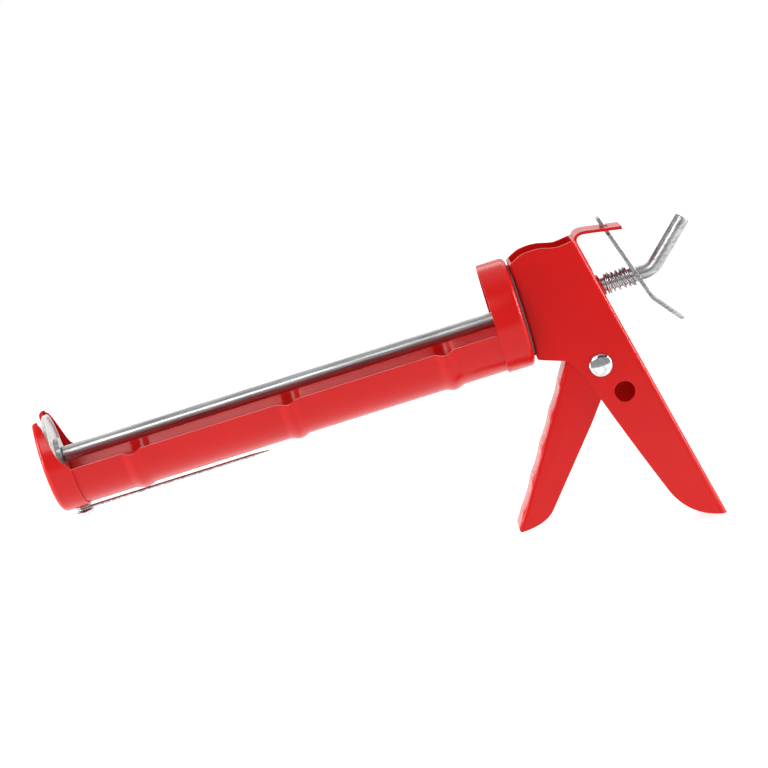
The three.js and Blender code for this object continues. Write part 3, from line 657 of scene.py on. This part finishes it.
class GUN_OT_rod(GunOperator, Operator):
    """Bend the push rod and turn its front end"""
    bl_idname = "gun.rod"
    bl_label = "Push rod"

    def execute(self, context):
        sizes = context.scene.gun_rod
        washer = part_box("plunger_washer")[1].x - ZERO.x
        shoulder = washer + SEATED
        tip = ROD_LOW.x - ZERO.x
        turn = sizes.hook_angle
        bar = path_piece("hooked_rod", [
            at(shoulder, 0, 0), at(sizes.hook_corner, 0, 0),
            at(sizes.hook_corner + sizes.hook_length * math.cos(turn), 0,
               sizes.hook_length * math.sin(turn))])
        bar_tree(finish("zinc_plate"), 64).run(bar, {"Radius": ROD_RADIUS, "Bend": sizes.hook_bend})
        round_edges(bar, 0.45 * MM, 60)
        settle(bar, "rod", "zinc_plate", "push_rod")
        bevel = 0.4 * MM
        root = shoulder + SLIDING  # it runs a little way into the bar
        spigot = turned("rod_spigot", [
            (tip, 0), (tip, sizes.spigot - bevel), (tip + bevel, sizes.spigot),
            (root, sizes.spigot), (root, 0)], sides=48)
        smooth(spigot)
        settle(spigot, "rod", "zinc_plate")
        return {"FINISHED"}


class GUN_OT_turned(GunOperator, Operator):
    """Turn the plunger, bush, washers and rivets"""
    bl_idname = "gun.turned"
    bl_label = "Turned pieces"

    def ring(self, node, name, body, bore, slot):
        """A washer along X, its place and size taken from its node."""
        low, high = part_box(node)
        radius = (high.y - low.y) / 2
        x0, x1 = low.x - ZERO.x, high.x - ZERO.x
        piece = turned(name, [(x0, bore), (x0, radius), (x1, radius), (x1, bore)])
        smooth(piece)
        round_edges(piece, 0.15 * MM)
        settle(piece, body, slot, node)

    def rivet(self, name, node, axis, centre, profile, body, slot="chrome"):
        piece = turned(name, profile, axis, centre, 64)
        smooth(piece)
        settle(piece, body, slot, node)

    def execute(self, context):
        spigot = context.scene.gun_rod.spigot + SEATED
        bore = ROD_RADIUS + SLIDING
        cradle_bore = context.scene.gun_cradle.bore
        self.ring("plunger_washer", "backing_washer", "rod", spigot, "zinc_plate")
        # The friction washer's near-black finish is painted shade for the gap behind the collar.
        self.ring("swivel_washer", "friction_washer", "cradle", cradle_bore, "black_fibre")
        low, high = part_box("plunger_disc")
        face, outer, sheet = low.x - ZERO.x, (high.y - low.y) / 2, 1.2 * MM
        hub, rim = 9.7 * MM, high.x - low.x
        disc = turned("plunger", [
            (face + 1 * MM, spigot), (face + 1 * MM, hub), (face, hub + 2 * MM),
            *arc((face + 1.2 * MM, outer - 1.2 * MM), 1.2 * MM, 180, 90, 8),
            (face + rim, outer), (face + rim, outer - sheet),
            (face + 1.8 * MM, outer - sheet), (face + sheet, outer - 1.8 * MM),
            (face + sheet, hub + 2.4 * MM), (face + 2.2 * MM, hub + 0.4 * MM),
            (face + 2.2 * MM, spigot)])
        smooth(disc, 25)
        round_edges(disc, 0.18 * MM, 25)
        # The plunger wears the paler zinc, a painted highlight, in place of its bright zinc slot.
        settle(disc, "plunger", "zinc_plate", "plunger_disc", look="plunger_highlight_zinc")
        low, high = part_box("swivel_bush")
        x0, x1, flange = low.x - ZERO.x, high.x - ZERO.x, (high.y - low.y) / 2
        barrel = cradle_bore - SLIDING
        bush = turned("flanged_bush", [
            (x0, bore), (x0, flange), (x0 + sheet, flange), (x0 + sheet, barrel),
            (x1 - sheet, barrel), (x1 - sheet, flange), (x1, flange), (x1, bore)])
        smooth(bush)
        round_edges(bush, 0.3 * MM)
        settle(bush, "frame", "zinc_plate", "swivel_bush")
        self.trigger_pin()
        self.needle_pin()
        return {"FINISHED"}

    def trigger_pin(self):
        """The trigger's rivet with its two domed heads, and the tube round it."""
        low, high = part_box("trigger_rivet")
        centre = ((low.x + high.x) / 2 - ZERO.x, (low.z + high.z) / 2 - ZERO.z)
        side, radius, pin = high.y - 2 * MM, (high.x - low.x) / 2, 3.4 * MM
        dome = [(side + (0.5 + 1.5 * math.sin(a)) * MM, radius * math.cos(a))
                for a in steps_between(0, math.pi / 2, 14)]
        right = [(side, pin), (side, radius - 0.15 * MM), (side + 0.15 * MM, radius), *dome]
        left = [(-y, r) for y, r in reversed(right)]
        self.rivet("trigger_pin", "trigger_rivet", "Y", centre, left + right, "frame")
        low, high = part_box("trigger_spacer")
        inner, outer = pin + SEATED, (high.x - low.x) / 2
        self.rivet("trigger_tube", "trigger_spacer", "Y", centre, [
            (low.y, inner), (low.y, outer), (high.y, outer), (high.y, inner)], "frame", "zinc_plate")

    def needle_pin(self):
        """The needle's rivet, with its head below and its upset end in the trough, and its washer."""
        low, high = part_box("needle_rivet")
        centre = ((low.x + high.x) / 2 - ZERO.x, 0)
        radius, shank, thick = (high.x - low.x) / 2, 1.6 * MM, 1.9 * MM
        base, top = low.z - ZERO.z, high.z - ZERO.z
        head = [(base, 0)] + arc((base + 0.7 * MM, radius - 0.7 * MM), 0.7 * MM, 180, 90, 6)
        head += [
            (base + thick - 0.2 * MM, radius), (base + thick, radius - 0.2 * MM), (base + thick, shank)]
        upset = [(top - 0.9 * MM, shank), (top - 0.9 * MM, 2.8 * MM), (top - 0.4 * MM, 2.7 * MM),
                 (top, 1.9 * MM), (top, 0)]
        self.rivet("needle_pin", "needle_rivet", "Z", centre, head + upset, "cradle")
        low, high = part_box("needle_washer")
        outer = (high.y - low.y) / 2
        self.rivet("needle_shim", "needle_washer", "Z", centre, [
            (low.z - ZERO.z, shank + SEATED), (low.z - ZERO.z, outer),
            (high.z - ZERO.z, outer), (high.z - ZERO.z, shank + SEATED)], "cradle", "zinc_plate")


class GUN_OT_needle(GunOperator, Operator):
    """Wind the seal needle's eye and draw out its wire"""
    bl_idname = "gun.needle"
    bl_label = "Seal needle"

    def execute(self, context):
        wire = context.scene.gun_springs.needle_wire
        low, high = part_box("seal_needle")
        rivet_low, rivet_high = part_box("needle_rivet")
        x = (rivet_low.x + rivet_high.x) / 2 - ZERO.x
        level = (low.z + high.z) / 2 - ZERO.z
        loop = (high.y - low.y) / 2 - wire
        tip = high.x - ZERO.x
        # The eye turns once round the rivet, then the wire swings in to the middle line.
        points = [
            at(x + loop * math.cos(a), loop * math.sin(a), level)
            for a in steps_between(math.radians(28), math.radians(322), 40)]
        points += [at(x + 4.6 * MM, -0.4 * MM, level), at(x + 8 * MM, 0, level)]
        points += [at(p, 0, level) for p in steps_between(x + 14 * MM, tip - 9 * MM, 6)]
        piece = path_piece("needle", points)
        bar_tree(finish("spring_steel"), 20).run(piece, {"Radius": wire, "Bend": 0.6 * MM})
        point = turned("needle_point", [
            (tip - 9.3 * MM, 0), (tip - 9.3 * MM, wire * 0.9), (tip - 9 * MM, wire),
            (tip - 1 * MM, 0.3 * MM), (tip, 0)], "X", (0, level), 20)
        smooth(point)
        settle(piece, "needle", "spring_steel", "seal_needle")
        settle(point, "needle", "spring_steel")
        return {"FINISHED"}


class GUN_OT_springs(GunOperator, Operator):
    """Wind the drive spring and the release spring"""
    bl_idname = "gun.springs"
    bl_label = "Springs"

    def execute(self, context):
        sizes = context.scene.gun_springs
        tree = coil_tree(finish("spring_steel"))
        for name, node, radius, wire, turns, lean, joint, keep in (
            ("drive_coil", "drive_spring", sizes.drive_radius, sizes.drive_wire,
             sizes.drive_turns, 0, "drive_slide", 0.52),
            ("release_coil", "release_spring", sizes.release_radius, sizes.release_wire,
             sizes.release_turns, math.tan(sizes.release_lean), "release_tilt", 0.69),
        ):
            low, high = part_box(node)
            piece = path_piece(name, [(0, 0, 0), (0, 0, 1)])
            start = low.x + wire
            end = high.x - wire - radius * lean
            tree.run(piece, {
                "Radius": radius, "Wire": wire, "Turns": turns, "Start": start, "End": end,
                "Height": ZERO.z, "Lean": lean})
            settle(piece, "frame", "spring_steel", node)
            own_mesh(piece)
        return {"FINISHED"}


class GUN_OT_studio(GunOperator, Operator):
    """Set up the floor, the light and the camera"""
    bl_idname = "gun.studio"
    bl_label = "Studio"

    def floor(self, tint):
        """A white table top whose front edge lies outside the camera's view."""
        reach, front, level = 6.0, 0.42, -0.5 * MM
        piece = new_piece("floor", [
            (-reach, -front, level), (reach, -front, level),
            (reach, reach, level), (-reach, reach, level)], [(0, 1, 2, 3)])
        material, nodes, links, body = shader("studio_floor")
        grain = noise(nodes, links, (1, 1, 1), 60, 3)
        links.new(ramp(nodes, links, grain, [
            (0.3, tuple(tint)), (0.7, (*[c * 0.985 for c in tint[:3]], 1))]), body.inputs["Base Color"])
        body.inputs["Roughness"].default_value = 0.9
        body.inputs["Specular IOR Level"].default_value = 0.1
        body.inputs["Emission Color"].default_value = (1, 1, 1, 1)
        body.inputs["Emission Strength"].default_value = 0.75
        piece.data.materials.append(material)

    def world(self):
        """A room that is white behind the table and grey in front, with a darker band high up."""
        world = bpy.data.worlds.new("studio")
        world.use_nodes = True
        nodes, links = world.node_tree.nodes, world.node_tree.links
        place = nodes.new("ShaderNodeTexCoord")
        split = nodes.new("ShaderNodeSeparateXYZ")
        links.new(place.outputs["Generated"], split.inputs["Vector"])
        node = nodes.new("ShaderNodeValToRGB")
        stops = node.color_ramp.elements
        stops[0].position, stops[0].color = 0.0, (1, 1, 1, 1)
        stops[1].position, stops[1].color = 1.0, (0.9, 0.9, 0.9, 1)
        for spot, level in ((0.3, 1.0), (0.4, 0.16), (0.62, 0.12), (0.72, 0.9)):
            stops.new(spot).color = (level, level, level, 1)
        links.new(split.outputs["Z"], node.inputs["Fac"])
        depth = nodes.new("ShaderNodeMapRange")
        depth.inputs["From Min"].default_value = -0.35
        depth.inputs["From Max"].default_value = 0.05
        depth.inputs["To Min"].default_value = 0.4
        depth.inputs["To Max"].default_value = 1.0
        links.new(split.outputs["Y"], depth.inputs["Value"])
        back = nodes["Background"]
        links.new(node.outputs["Color"], back.inputs["Color"])
        links.new(depth.outputs["Result"], back.inputs["Strength"])
        bpy.context.scene.world = world

    def lamp(self, name, spot, size, power, aim):
        """A soft lamp at spot, of size metres and power watts, turned to aim."""
        data = bpy.data.lights.new(name, "AREA")
        data.shape = "RECTANGLE"
        data.size, data.size_y = size
        data.energy = power
        lamp = bpy.data.objects.new(name, data)
        lamp.location = spot
        lamp.rotation_euler = (aim - Vector(spot)).to_track_quat("-Z", "Y").to_euler()
        bpy.context.scene.collection.objects.link(lamp)

    def execute(self, context):
        studio = context.scene.gun_studio
        self.floor(context.scene.gun_colours.floor)
        self.world()
        aim = at(-studio.aim_back, 0, -studio.aim_drop)
        self.lamp("key", (-0.6, -1.5, 1.3), (1.2, 0.8), 17, aim)
        self.lamp("hook_side", (1.6, -0.2, 0.3), (0.35, 1.2), 28, aim)
        self.lamp("cap_side", (-1.6, -0.2, 0.3), (0.35, 1.2), 28, aim)
        self.lamp("rim", (0.2, 1.4, 1.2), (1.6, 0.5), 8, aim)
        data = bpy.data.cameras.new("camera")
        data.lens = studio.lens
        data.sensor_width = 36
        data.clip_start, data.clip_end = 0.05, 50
        camera = bpy.data.objects.new("camera", data)
        a, e = studio.azimuth, studio.elevation
        back = Vector((math.sin(a) * math.cos(e), -math.cos(a) * math.cos(e), math.sin(e)))
        turn = (-back).to_track_quat("-Z", "Y").to_matrix() @ Matrix.Rotation(-studio.roll, 3, "Z")
        camera.matrix_world = Matrix.Translation(aim + back * studio.distance) @ turn.to_4x4()
        context.scene.collection.objects.link(camera)
        context.scene.camera = camera
        context.scene.view_settings.view_transform = "Standard"
        return {"FINISHED"}


PIECE_OPERATORS = (
    GUN_OT_trough, GUN_OT_collar, GUN_OT_cap, GUN_OT_folded, GUN_OT_rod,
    GUN_OT_turned, GUN_OT_needle, GUN_OT_springs, GUN_OT_studio,
)


class GUN_PT_panel(Panel):
    bl_label = "Caulking gun"
    bl_space_type = "VIEW_3D"
    bl_region_type = "UI"
    bl_category = "Caulking gun"

    def draw(self, context):
        for operator in PIECE_OPERATORS:
            self.layout.operator(operator.bl_idname)
        for group in SETTINGS:
            box = self.layout.box()
            for name in getattr(context.scene, group).bl_rna.properties.keys():
                if name not in {"rna_type", "name"}:
                    box.prop(getattr(context.scene, group), name)


SETTINGS = {
    "gun_cradle": CradleSizes,
    "gun_rod": RodSizes,
    "gun_springs": SpringSizes,
    "gun_colours": FinishColours,
    "gun_studio": StudioSettings,
}
CLASSES = (*SETTINGS.values(), *PIECE_OPERATORS, GUN_PT_panel)


def register():
    for cls in CLASSES:
        bpy.utils.register_class(cls)
    for name, group in SETTINGS.items():
        setattr(bpy.types.Scene, name, PointerProperty(type=group))


def unregister():
    for name in SETTINGS:
        delattr(bpy.types.Scene, name)
    for cls in reversed(CLASSES):
        bpy.utils.unregister_class(cls)


def main():
    register()
    bpy.ops.gun.trough()
    bpy.ops.gun.collar()
    bpy.ops.gun.cap()
    bpy.ops.gun.folded()
    bpy.ops.gun.rod()
    bpy.ops.gun.turned()
    bpy.ops.gun.needle()
    bpy.ops.gun.springs()
    bpy.ops.gun.studio()


if __name__ == "__main__":
    main()
